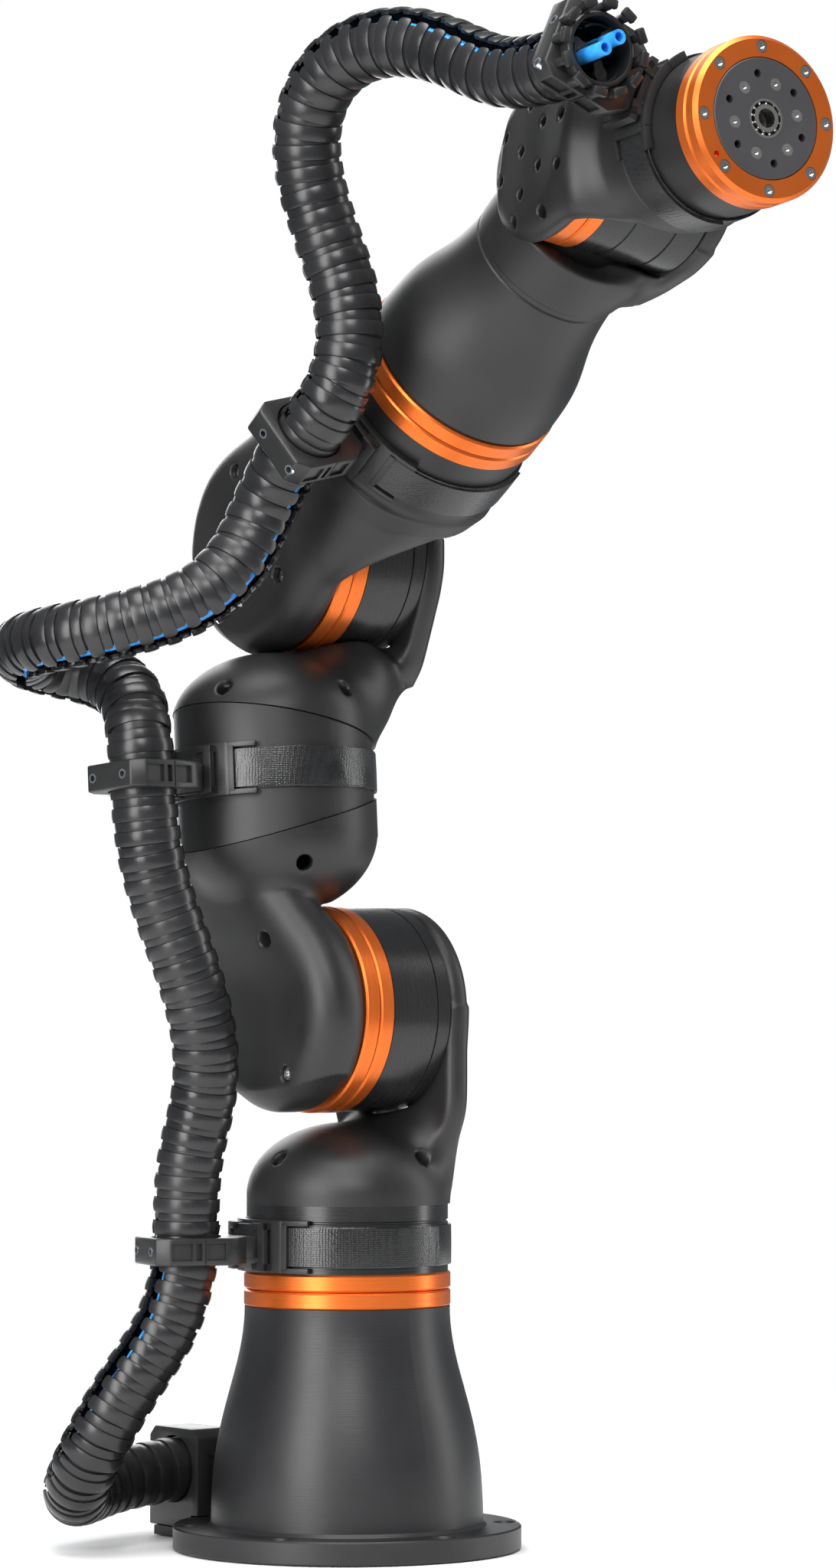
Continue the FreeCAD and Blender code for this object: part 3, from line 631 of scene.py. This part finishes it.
def outline_block(bm, outline, z0, z1):
    """A flat outline, given height."""
    low = [bm.verts.new((x, y, z0)) for x, y in outline]
    high = [bm.verts.new((x, y, z1)) for x, y in outline]
    bm.faces.new(low[::-1])
    bm.faces.new(high)
    n = len(outline)
    for i in range(n):
        bm.faces.new((low[i], low[(i + 1) % n], high[(i + 1) % n], high[i]))


def drill(name, placing, radius, depth0, depth1, sides=28):
    """A cutter: a cylinder along the placing's Z."""
    bm = bmesh.new()
    bmesh.ops.create_cone(bm, cap_ends=True, segments=sides, radius1=radius, radius2=radius,
                          depth=depth1 - depth0)
    bmesh.ops.translate(bm, vec=(0, 0, (depth0 + depth1) / 2), verts=bm.verts)
    return from_bmesh(name, bm, NYLON, placing)


def block_cutter(name, placing, centre, size):
    """A cutter: a box."""
    bm = bmesh.new()
    box_mesh(bm, centre, size)
    return from_bmesh(name, bm, NYLON, placing)


BLOCK = 22.0            # half of a clamp block
BLOCK_H = 7.0           # half of its length along the chain
SADDLE_H = 13.5         # half of a strap holder's length
BORE_R = 17.9           # of a clamp block
BUSHING_X = 11.8        # from the middle of a clamp block
# Three latch windows and a groove in each long side: (place across, size).
WINDOWS = ((-9, (2.4, 11, 8.6)), (0.2, (4.4, 3, 8.6)), (9.5, (3.0, 10, 8.6)), (3.6, (1.2, 0.7, 20)))


def bushings(number, placing, spots, body):
    """Silver threaded bushings, each a ring round a dark hole."""
    bm = bmesh.new()
    turn = spin("X", 90).to_3x3()
    for x in spots:
        start = len(bm.verts)
        lathe(bm, [(1.6, -0.2), (2.5, -0.2), (2.5, 5), (1.6, 5)], 24)
        bm.verts.ensure_lookup_table()
        made = bm.verts[start:]
        bmesh.ops.rotate(bm, cent=(0, 0, 0), matrix=turn, verts=made)
        bmesh.ops.translate(bm, vec=(x, -BLOCK + 4.8, 0), verts=made)
    piece = from_bmesh("clamp_bushings_%d" % number, bm, ZINC, placing)
    finish_piece(piece, body)


def clamp_block(number, link_clamp, body, turn, block_z, bush_x, fingers=False):
    """The block that grips the chain: chamfered outside, bored, with latch windows in its long sides."""
    placing = link_clamp @ spin("Z", turn) @ shift(0, 0, block_z)
    outline = [(-17, -BLOCK), (17, -BLOCK), (BLOCK, -15), (BLOCK, 18), (15, BLOCK + 6), (-15, BLOCK + 6),
               (-BLOCK, 18), (-BLOCK, -15)]
    bm = bmesh.new()
    outline_block(bm, outline, -BLOCK_H, BLOCK_H)
    piece = from_bmesh("chain_clamp_%d" % number, bm, NYLON, placing, bevel=1.0)
    spots = (bush_x - BUSHING_X, bush_x + BUSHING_X)
    cutters = [drill("bore", placing, BORE_R, -20, 20, 48)]
    for x in spots:
        cutters.append(drill("seat", placing @ shift(x, -BLOCK - 1, 0) @ spin("X", -90), 2.5, 0, 7))
    for side in (-1, 1):
        for y, size in WINDOWS:
            cutters.append(block_cutter("window", placing, (side * BLOCK, y, 0), size))
    carve(piece, cutters)
    finish_piece(piece, body)
    bushings(number, placing, spots, body)
    if fingers:
        strain_relief(placing, body)


def rail(bm, r0, r1, z0, z1, a0, a1):
    """A curved bar on the strap's circle."""
    lathe(bm, [(r0, z0), (r1, z0), (r1, z1), (r0, z1)], 16, a0, a1)


def saddle(number, link, yc, z, radius, angle, block_front, body, node):
    """Curved plate on the strap with its rails and D-shaped lips, and the neck to the clamp block."""
    placing = link @ shift(0, yc, z) @ spin("Z", angle - 90)
    bm = bmesh.new()
    inner, outer = radius + 0.4, radius + 5.0
    lathe(bm, [(inner, -SADDLE_H), (outer, -SADDLE_H), (outer, SADDLE_H), (inner, SADDLE_H)], 20, -24, 24)
    for side in (-1, 1):
        for edge in (-1, 1):
            low, high = sorted((edge * 10.9, edge * SADDLE_H))
            rail(bm, inner, radius + 4.6, low, high, *sorted((side * 23, side * 39)))
        rail(bm, radius + 2.2, radius + 5.4, -11.4, 11.4, *sorted((side * 24, side * 27)))
        rail(bm, radius + 4.5, radius + 6.2, -12.5, 12.5, *sorted((side * 9, side * 11)))
        rail(bm, outer - 0.5, radius + 11, 8.6, 12.2, *sorted((side * 9, side * 17)))
        rail(bm, outer - 0.5, radius + 11, -12.2, -8.6, *sorted((side * 9, side * 17)))
        rail(bm, radius + 7.6, radius + 11, -12.2, 12.2, *sorted((side * 13, side * 17)))
    reach = block_front - (radius + 4)
    box_mesh(bm, (radius + 4 + reach / 2, 0, 0), (reach, 26, 11))
    box_mesh(bm, (radius + 6.5, 0, 0), (4, 34, 23))
    piece = from_bmesh("strap_holder_%d" % number, bm, NYLON, placing, bevel=0.7)
    finish_piece(piece, body, node)


def strain_relief(placing, body):
    """Twelve hammer-headed fingers round the mouth, a lip, and the spider that holds the chain's end."""
    bm = bmesh.new()
    for i in range(12):
        way = spin("Z", 30 * i + 15)
        stem = box_mesh(bm, (0, 0, 0), (4.2, 4.0, 10))
        bmesh.ops.transform(bm, matrix=way @ shift(21.3, 0, BLOCK_H + 4.5), verts=stem)
        head = box_mesh(bm, (0, 0, 0), (4.4, 7.6, 3.4))
        bmesh.ops.transform(bm, matrix=way @ shift(21.8, 0, BLOCK_H + 9.8), verts=head)
    fingers = from_bmesh("strain_relief_fingers", bm, NYLON, placing, bevel=0.9)
    bm = bmesh.new()
    lathe(bm, [(15.8, 2), (18.4, 2), (18.4, 13.2), (17.6, 14), (15.8, 14)], 72)
    for i in range(3):
        way = spin("Z", 120 * i + 40)
        strut = box_mesh(bm, (0, 0, 0), (12, 5.2, 2.4))
        bmesh.ops.transform(bm, matrix=way @ shift(10.5, 0, 7), verts=strut)
        lathe(bm, [(1.9, 5.6), (3.5, 5.6), (3.5, 8.4), (1.9, 8.4)], 20,
              centre=tuple((way @ Vector((10.5, 0, 0)))[:]))
    ball = bmesh.ops.create_uvsphere(bm, u_segments=24, v_segments=16, radius=4.6)["verts"]
    bmesh.ops.translate(bm, vec=(0, 0, 7.5), verts=ball)
    spider = from_bmesh("chain_end_spider", bm, NYLON, placing, bevel=0.4)
    for piece in (fingers, spider):
        finish_piece(piece, body)


def holders():
    """The four straps with their holders and clamps."""
    rows = ((1, BASE, 0, 158.2, 52.7, -6, "shoulder", "chain_holder_1", -10, -1.5, -1.9),
            (2, LOWER, TUBE_Y, 121.6, 51.5, 6, "lower_arm", "chain_holder_2", 0, -4, -1),
            (3, ELBOW, FOREARM_Y, 110, 52.7, 16, "elbow", "chain_holder_3", 0, 6, 4),
            (4, WRIST, 0, 80, 39, -15, "wrist", "chain_end_clamp", 0, 7, 5))
    for number, link, yc, z, radius, angle, body, node, turn, block_z, bush_x in rows:
        band_piece = strap(number, link, yc, z, radius, angle - 90)
        finish_piece(band_piece, body, "strap_%d" % number)
        saddle(number, link, yc, z, radius, angle, REACH[number - 1] - BLOCK - 2, body, node)
        clamp_block(number, CLAMPS[number - 1], body, turn, block_z, bush_x, fingers=number == 4)


def base_clamp():
    """Clamp block of the chain's fixed end, standing on its foot behind the flange."""
    bm = bmesh.new()
    outline = [(-120, 5.2), (-74.5, 5.2), (-74.5, 53), (-79.5, 58), (-115, 58), (-120, 53)]
    outline_block(bm, outline, 20.2, 43.8)
    placing = spin("X", 90)
    piece = from_bmesh("base_clamp_block", bm, NYLON, placing, bevel=1.0)
    flange = drill("flange", BASE, 91.6, -2, 12.6, 96)
    bore = drill("bore", shift(-97, -50, 36) @ spin("X", -90), BORE_R, 0, 60, 48)
    notch = block_cutter("notch", BASE, (-74, -32, 34), (3, 9, 20))
    carve(piece, [flange, bore, notch])
    finish_piece(piece, "base", "base_chain_clamp")


# ---------------------------------------------------------------- moulded shells from smooth solids
def length2(a, b):
    return np.sqrt(a * a + b * b)


def smooth_union(a, b, k):
    """a and b, with a fillet of about k where they meet."""
    h = np.clip(0.5 + 0.5 * (b - a) / k, 0, 1)
    return b + (a - b) * h - k * h * (1 - h)


def smooth_cut(a, b, k):
    """a without b."""
    return -smooth_union(-a, b, k)


def rounded(q0, q1, edge):
    """Two crossing walls, given less the edge's radius, that meet in a rounded edge."""
    return np.minimum(np.maximum(q0, q1), 0) + length2(np.maximum(q0, 0), np.maximum(q1, 0)) - edge


def disc_y(p, radius, y0, y1, edge, cx=0.0, cz=0.0):
    """Cylinder along Y between y0 and y1, with a rounded edge."""
    q0 = length2(p[0] - cx, p[2] - cz) - radius + edge
    q1 = np.abs(p[1] - (y0 + y1) / 2) - (y1 - y0) / 2 + edge
    return rounded(q0, q1, edge)


def disc_z(p, radius, z0, z1, edge, cx=0.0, cy=0.0):
    """Cylinder along Z between z0 and z1, with a rounded edge."""
    q0 = length2(p[0] - cx, p[1] - cy) - radius + edge
    q1 = np.abs(p[2] - (z0 + z1) / 2) - (z1 - z0) / 2 + edge
    return rounded(q0, q1, edge)


def egg(p, centre, radii):
    """Ellipsoid, with a distance that is right near its surface."""
    x, y, z = (p[k] - centre[k] for k in range(3))
    k0 = np.sqrt((x / radii[0]) ** 2 + (y / radii[1]) ** 2 + (z / radii[2]) ** 2)
    k1 = np.sqrt((x / radii[0] ** 2) ** 2 + (y / radii[1] ** 2) ** 2 + (z / radii[2] ** 2) ** 2)
    return k0 * (k0 - 1) / np.maximum(k1, 1e-6)


def rod(p, a, b, radius):
    """Capsule from a to b."""
    a, b = np.array(a, float), np.array(b, float)
    d = b - a
    t = np.clip(sum((p[k] - a[k]) * d[k] for k in range(3)) / (d @ d), 0, 1)
    return np.sqrt(sum((p[k] - a[k] - t * d[k]) ** 2 for k in range(3))) - radius


def slab_box(p, low, high, edge):
    """Box between two corners, with rounded edges."""
    q = [np.abs(p[k] - (low[k] + high[k]) / 2) - (high[k] - low[k]) / 2 + edge for k in range(3)]
    outside = np.sqrt(sum(np.maximum(c, 0) ** 2 for c in q))
    return outside + np.minimum(np.maximum(q[0], np.maximum(q[1], q[2])), 0) - edge


def eased(z, knots, values):
    """Interpolation through the knots with the corners rounded off."""
    fine = np.linspace(knots[0], knots[-1], 160)
    raw = np.pad(np.interp(fine, knots, values), 15, mode="reflect", reflect_type="odd")
    weights = np.hanning(31) / np.hanning(31).sum()
    return np.interp(z, fine, np.convolve(raw, weights, "valid"))


def sections(p, rows):
    """Lofted body of rounded sections: rows of (z, centre x, centre y, half x, half y)."""
    z = [r[0] for r in rows]
    xc, yc, hx, hy = (eased(p[2], z, [r[k] for r in rows]) for k in (1, 2, 3, 4))
    power = 2.3
    around = (np.abs((p[0] - xc) / hx) ** power + np.abs((p[1] - yc) / hy) ** power) ** (1 / power)
    return np.maximum((around - 1) * np.minimum(hx, hy), np.maximum(z[0] - p[2], p[2] - z[-1]))


def blade(p, rows, y0, y1, edge):
    """Flat arm between y0 and y1 with rounded edges: rows of (z, half width)."""
    z = [r[0] for r in rows]
    q0 = np.abs(p[0]) - eased(p[2], z, [r[1] for r in rows]) + edge
    q1 = np.abs(p[1] - (y0 + y1) / 2) - (y1 - y0) / 2 + edge
    return np.maximum(rounded(q0, q1, edge), np.maximum(z[0] - p[2], p[2] - z[-1]))


def arm_to_joint(p, rows, y0, y1, radius, z):
    """Flat arm that ends in a disc round a joint's axis at height z."""
    return smooth_union(blade(p, rows, y0, y1, 5.5), disc_y(p, radius, y0, y1, 6, 0, z), 4)


def side_recesses(p, body, spots, y0, y1, radius, soft):
    """Round recesses along Y at the spots (x, z)."""
    for x, z in spots:
        body = smooth_cut(body, rod(p, (x, y0, z), (x, y1, z), radius), soft)
    return body


def dome_recesses(p, body, spots, centre_y, flare, z0, z1):
    """Screw recesses that slant up out of a dome at the spots (angle, radius)."""
    for angle, r in spots:
        a = math.radians(angle)
        base = (r * math.cos(a), centre_y + r * math.sin(a), z0)
        tip = (r * flare * math.cos(a), centre_y + r * flare * math.sin(a), z1)
        body = smooth_cut(body, rod(p, base, tip, SCREW_R), 0.8)
    return body


def shell_mesh(name, solid, low, high, step, placing, plane_co, plane_no):
    """Mesh of where the field is below zero, cut clean by a plane with an outward normal."""
    axes = [np.arange(low[k], high[k] + step, step, dtype=np.float32) for k in range(3)]
    p = np.meshgrid(*axes, indexing="ij")
    field = np.clip(solid(p), -3 * step, 3 * step).astype(np.float32)
    grid = openvdb.FloatGrid(3 * step)
    grid.copyFromArray(field)
    points, quads = grid.convertToQuads(0.0)
    points = points * step + np.array([a[0] for a in axes])
    mesh = bpy.data.meshes.new(name)
    mesh.from_pydata(points.tolist(), [], quads[:, ::-1].tolist())
    bm = bmesh.new()
    bm.from_mesh(mesh)
    geometry = bm.verts[:] + bm.edges[:] + bm.faces[:]
    made = bmesh.ops.bisect_plane(bm, geom=geometry, plane_co=plane_co, plane_no=plane_no, clear_outer=True)
    edges = [e for e in made["geom_cut"] if isinstance(e, bmesh.types.BMEdge)]
    bmesh.ops.triangle_fill(bm, use_beauty=True, edges=edges, normal=plane_no)
    bmesh.ops.recalc_face_normals(bm, faces=bm.faces)
    bm.to_mesh(mesh)
    bm.free()
    mesh.transform(TO_METRES @ placing)
    mesh.materials.append(MATTE)
    mesh.shade_smooth()
    mesh.set_sharp_from_angle(angle=math.radians(48))
    piece = bpy.data.objects.new(name, mesh)
    bpy.context.scene.collection.objects.link(piece)
    return piece


STEP = 1.1              # of the grid that a shell is meshed on
TUBE_R, NECK_TUBE_R = 52.7, 39                 # radius of the large mouldings, and of the wrist's neck
HUB_R, SMALL_HUB_R = 53.4, 39.4                # rounded ends of covers and arms
SCREW_R = 4.2                                  # recess of a slanting screw


def shoulder_shell():
    """Dome over joint 1, with the arm that carries joint 2."""
    blade0, blade1 = 27.4, 41.0

    def solid(p):
        dome = egg(p, (0, 0, 184), (TUBE_R, TUBE_R, 37.5))
        dome = np.maximum(dome, 150 - p[2])
        dome = np.minimum(dome, disc_z(p, TUBE_R, 150, 185, 0.5))
        arm = arm_to_joint(p, [(184, 27), (198, 35), (205, 40), (212, 45), (220, 50), (229, 53),
                               (240, 53.6), (281, 53.6)], blade0, blade1, 53.6, J2_Z)
        root = egg(p, (0, 28, 203), (40, 21, 28))
        both = smooth_union(smooth_union(dome, root, 12), arm, 14)
        both = np.maximum(both, p[1] - 44)
        both = smooth_cut(both, disc_y(p, 54.8, -90, blade0, 0.5, 0, J2_Z), 1.5)
        both = smooth_cut(both, slab_box(p, (-11, 22, 218), (15, 60, 256), 5), 2)
        return dome_recesses(p, both, ((-88, 42), (22, 43)), 0, 1.55, 200, 228)

    piece = shell_mesh("shoulder_shell", solid, (-58, -58, 172), (58, 52, 340), STEP, BASE,
                       (0, 0, 179), (0, 0, -1))
    finish_piece(piece, body="shoulder", node="shoulder_bracket")


def lower_cover_shell():
    """Bean-shaped cover of joint 2, up to the slanted end of the lower arm's tube."""
    face = -26.6

    def solid(p):
        hub = disc_y(p, HUB_R, face - 29.4, face + 4, 13)
        pod = sections(p, [(-34, 0, face - 11, 36, 11), (-8, 0, face - 14.4, 49.5, 14.5),
                           (15, -1, -43.5, 50.5, 17.5), (35, -3.5, -47.5, 48.5, 20.5),
                           (52, -8, -52, 45, 21.5), (66, -12, -56, 41.5, 22.5), (80, -15, -60, 38, 23),
                           (92, -16, -62, 34, 22)])
        neck = np.maximum(length2(p[0], p[1] - TUBE_Y) - TUBE_R, 88 - p[2])
        bulb = egg(p, (0, TUBE_Y, 92), (TUBE_R, TUBE_R, 43))
        body = smooth_union(smooth_union(hub, pod, 12), np.minimum(neck, bulb), 4)
        body = smooth_cut(body, disc_y(p, BIG_R + 1.6, face, 80, 0.5), 1.5)
        body = side_recesses(p, body, ((20, 34.6), (-40, 0), (20, -34.6)), face - 18, face - 70, 4.0, 0.8)
        return smooth_cut(body, rod(p, (28, -48, 76), (70, -68, 66), SCREW_R), 0.8)

    tilt = math.atan(0.285)
    piece = shell_mesh("lower_arm_shell", solid, (-58, -98, -58), (58, 18, 124), STEP, LOWER,
                       (0, TUBE_Y, 95.8), (0, -math.sin(tilt), math.cos(tilt)))
    finish_piece(piece, body="lower_arm", node="lower_arm_cover")


def elbow_bracket_shell():
    """Dome on the upper slanted end of the lower arm's tube, with the arm that carries joint 3."""
    blade0, blade1 = 24.5, 38.0

    def solid(p):
        dome = egg(p, (0, TUBE_Y, 150), (TUBE_R, TUBE_R, 36.5))
        dome = np.minimum(dome, disc_z(p, TUBE_R, 100, 151, 0.5, 0, TUBE_Y))
        root = egg(p, (0, 0, 168), (38, 29, 31))
        arm = arm_to_joint(p, [(170, 22), (177, 30), (184, 34), (193, 38.5), (205, 44.5), (215, 49),
                               (228, 52.6), (243, HUB_R)], blade0, blade1, HUB_R, ELBOW_Z)
        both = smooth_union(smooth_union(dome, root, 16), arm, 16)
        both = np.maximum(both, p[1] - 40)
        both = smooth_cut(both, disc_y(p, BIG_R + 1.0, -120, blade0, 0.5, 0, ELBOW_Z), 1.5)
        both = smooth_cut(both, slab_box(p, (-14, 6, 180), (16, 60, 214), 5), 2)
        return dome_recesses(p, both, ((-66, 44), (16, 46)), TUBE_Y, 1.5, 160, 190)

    tilt = math.atan(-0.22)
    piece = shell_mesh("elbow_bracket_shell", solid, (-58, -98, 128), (58, 46, 300), STEP, LOWER,
                       (0, TUBE_Y, 146.5), (0, math.sin(tilt), -math.cos(tilt)))
    finish_piece(piece, body="lower_arm", node="elbow_bracket")


def elbow_cover_shell():
    """Cover of joint 3, growing into the housing of joint 4."""
    face = -29.6

    def solid(p):
        hub = disc_y(p, HUB_R, face - 27.4, face + 4, 13)
        horn = sections(p, [(-34, 0, face - 10, 36, 10), (-8, 0, face - 13.5, 49.5, 13.6),
                            (15, 0, face - 13.8, 51, 15.5), (35, 0, face - 12, 51.8, 19),
                            (52, 0, face - 5, 52.5, 27), (66, 0, -22, TUBE_R, 37), (76, 0, -12, TUBE_R, 46),
                            (88, 0, FOREARM_Y, TUBE_R, TUBE_R)])
        neck = disc_z(p, TUBE_R, 80, 140, 0.3, 0, FOREARM_Y)
        body = smooth_union(smooth_union(hub, horn, 10), neck, 6)
        body = smooth_cut(body, disc_y(p, BIG_R + 1.6, face, 80, 0.5), 1.5)
        return side_recesses(p, body, ((-34.6, 20), (34.6, 20), (0, -40)), face - 16, face - 60, 4.0, 0.8)

    piece = shell_mesh("elbow_shell", solid, (-58, -62, -58), (58, 50, 140), STEP, ELBOW,
                       (0, 0, 134.4), (0, 0, 1))
    finish_piece(piece, body="elbow", node="elbow_cover")


def wrist_bracket_shell():
    """Hollowed dish on the forearm, with the arm that carries joint 5."""
    blade0, blade1 = 37.2, 50.0

    def solid(p):
        dish = disc_z(p, 41, 230, 264, 2)
        root = egg(p, (0, 22, 260), (35, 24, 24))
        arm = arm_to_joint(p, [(240, 20), (252, 26), (262, 31), (272, 35), (282, 38), (298, SMALL_HUB_R)],
                           blade0, blade1, SMALL_HUB_R, WRIST_Z)
        both = smooth_union(smooth_union(dish, root, 12), arm, 12)
        both = np.maximum(both, p[1] - blade1)
        both = smooth_cut(both, disc_y(p, SMALL_R + 1.2, -90, blade0, 0.5, 0, WRIST_Z), 2)
        return smooth_cut(both, egg(p, (0, 2, 262), (31, 32, 17)), 2)

    piece = shell_mesh("wrist_bracket_shell", solid, (-44, -44, 232), (44, 54, 342), STEP * 0.9, FOREARM,
                       (0, 0, 238), (0, 0, -1))
    finish_piece(piece, body="forearm", node="wrist_bracket")


# Recesses in the outer face of the wrist cover, from its axis.
VENTS = ((-12, -27), (10, -27), (-12, 11), (10, 11), (-11, 30), (14, 31), (21.5, -4.5), (34, 16), (34, -10),
         (-24, -4.5), (-1, -8))


def wrist_cover_shell():
    """Cover of joint 5 with its recesses, growing into the neck of joint 6."""
    face = -32.5

    def solid(p):
        hub = disc_y(p, SMALL_HUB_R, face - 14.5, face + 3, 8)
        horn = sections(p, [(-24, 0, face - 6, 27, 6), (-6, 0, face - 7.2, 36.5, 7.3),
                            (12, 0, face - 7.6, 37.5, 8.2), (26, 0, face - 7.5, 38.2, 10.5),
                            (40, 0, face - 3, 38.8, 17), (50, 0, -19, NECK_TUBE_R, 25),
                            (60, 0, -5, NECK_TUBE_R, 35), (68, 0, 0, NECK_TUBE_R, NECK_TUBE_R)])
        neck = disc_z(p, NECK_TUBE_R, 58, 100, 0.3)
        body = smooth_union(smooth_union(hub, horn, 10), neck, 8)
        body = smooth_cut(body, disc_y(p, SMALL_R + 1.0, face, 80, 0.5), 1.5)
        return side_recesses(p, body, VENTS, face - 6, face - 60, 3.0, 0.6)

    piece = shell_mesh("wrist_shell", solid, (-44, -58, -44), (44, 44, 100), STEP * 0.8, WRIST,
                       (0, 0, 94.9), (0, 0, 1))
    finish_piece(piece, body="wrist", node="wrist_cover")


camera()
energy_chain()
studio()
paint_cad()
holders()
base_clamp()
shoulder_shell()
lower_cover_shell()
elbow_bracket_shell()
elbow_cover_shell()
wrist_bracket_shell()
wrist_cover_shell()
